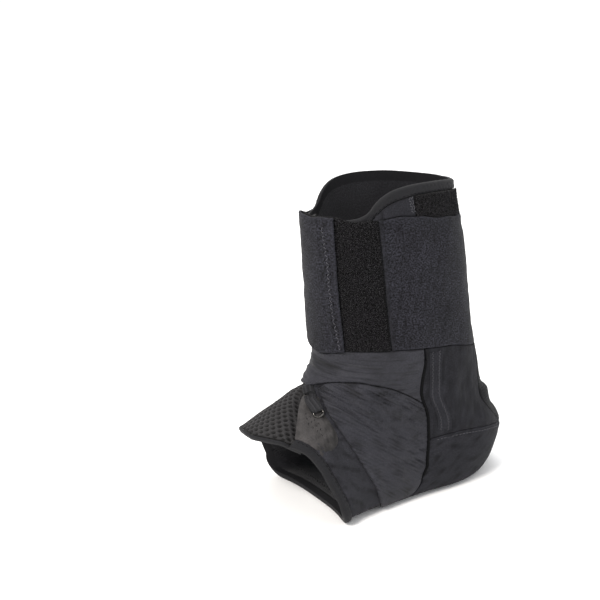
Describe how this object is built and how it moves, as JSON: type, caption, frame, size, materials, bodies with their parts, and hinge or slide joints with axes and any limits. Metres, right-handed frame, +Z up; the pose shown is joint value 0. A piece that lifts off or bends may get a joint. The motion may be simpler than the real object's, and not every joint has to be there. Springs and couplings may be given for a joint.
{
  "type": "ankle brace",
  "caption": "Soft boot-shaped ankle brace, open at the toes, with a padded body, mesh tongue, side stirrup strap, heel panel and a wide elastic cuff that fastens on loop pile.",
  "frame": {"origin": "middle of the box round the brace, on the surface that its sole stands on", "axes": "+Z up the leg, -X towards the toes, +X towards the heel, -Y towards the outer side of the ankle, for a left foot"},
  "size_m": [0.1734, 0.091, 0.1873],
  "materials": {
    "padded_cloth": "matt brushed knit over thin foam, charcoal",
    "spacer_mesh": "spacer mesh with small oval dimples, charcoal",
    "binding": "folded stretch binding, dark charcoal",
    "stretch_knit": "matt stretch knit, charcoal",
    "ribbed_elastic": "ribbed elastic, near black",
    "loop_pile": "fuzzy loop pile, near black",
    "hook_pad": "moulded hook tape, near black",
    "wide_elastic": "wide woven elastic, charcoal",
    "smooth_cloth": "smooth close knit, warm grey",
    "webbing": "narrow woven tape, dark",
    "nickel": "small polished wire ring"
  },
  "bodies": {
    "root": {"boot_body": "padded_cloth", "tongue": "spacer_mesh", "tongue_edge": "binding", "front_binding": "binding", "collar_binding": "binding", "stirrup_strap": "stretch_knit", "instep_band": "stretch_knit", "heel_cup": "stretch_knit", "achilles_panel": "ribbed_elastic", "cuff_pile": "loop_pile", "cuff_hook_pad": "hook_pad", "cuff_strap": "wide_elastic", "eyestay_outer": "smooth_cloth", "rear_quarter_outer": "stretch_knit", "side_tape_outer": "webbing", "collar_panel_outer": "smooth_cloth", "collar_pile_outer": "loop_pile", "lace_tape_outer": "webbing", "lace_ring_outer": "nickel", "eyestay_inner": "smooth_cloth", "rear_quarter_inner": "stretch_knit", "side_tape_inner": "webbing", "collar_panel_inner": "smooth_cloth", "collar_pile_inner": "loop_pile", "lace_tape_inner": "webbing", "lace_ring_inner": "nickel"}
  },
  "joints": []
}
